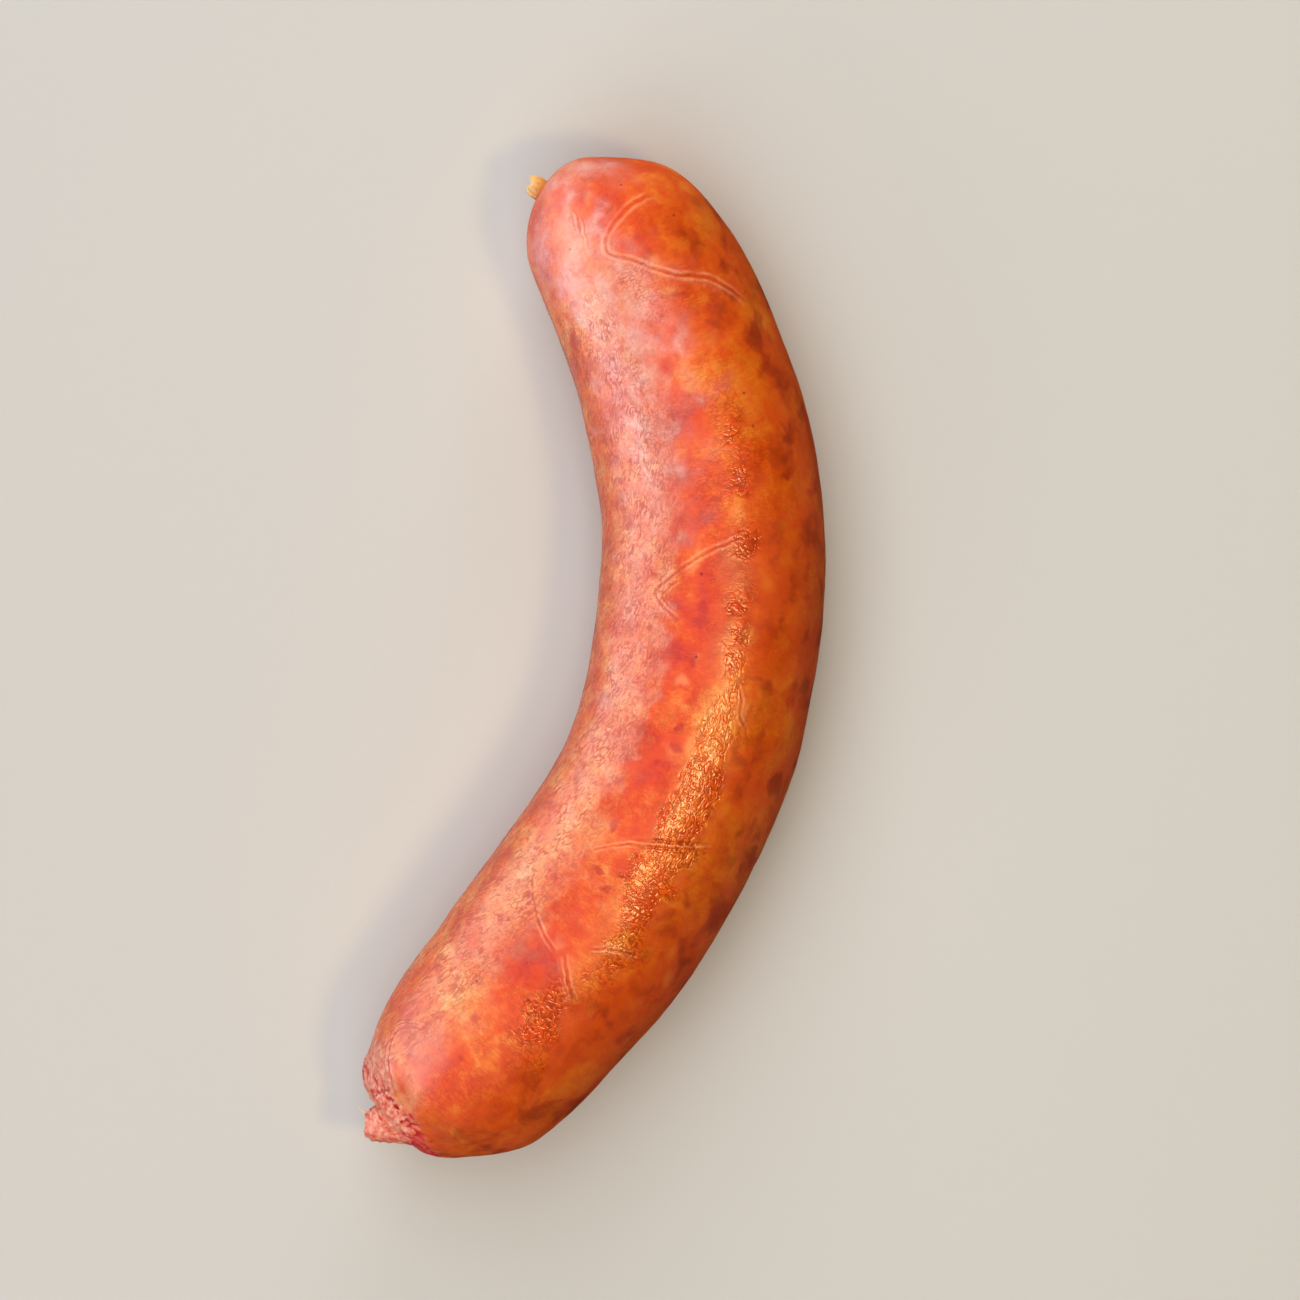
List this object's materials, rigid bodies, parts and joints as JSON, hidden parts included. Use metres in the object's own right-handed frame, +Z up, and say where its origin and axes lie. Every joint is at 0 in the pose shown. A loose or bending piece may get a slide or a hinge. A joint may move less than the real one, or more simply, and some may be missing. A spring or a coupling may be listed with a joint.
{
  "type": "dry-cured sausage",
  "caption": "Bent, plump link of coarse cured meat in a natural casing, with a gathered cut tail and a dried twisted nub, lying on its side.",
  "frame": {"origin": "centre of the bounding box in plan, on the surface that the link rests on", "axes": "+X along the chord from the cut tail to the dried nub, +Y into the hollow of the bend, +Z up"},
  "size_m": [0.1754, 0.0668, 0.0361],
  "materials": {
    "casing": "moist satin"
  },
  "bodies": {
    "root": {"sausage": "casing"}
  },
  "joints": []
}
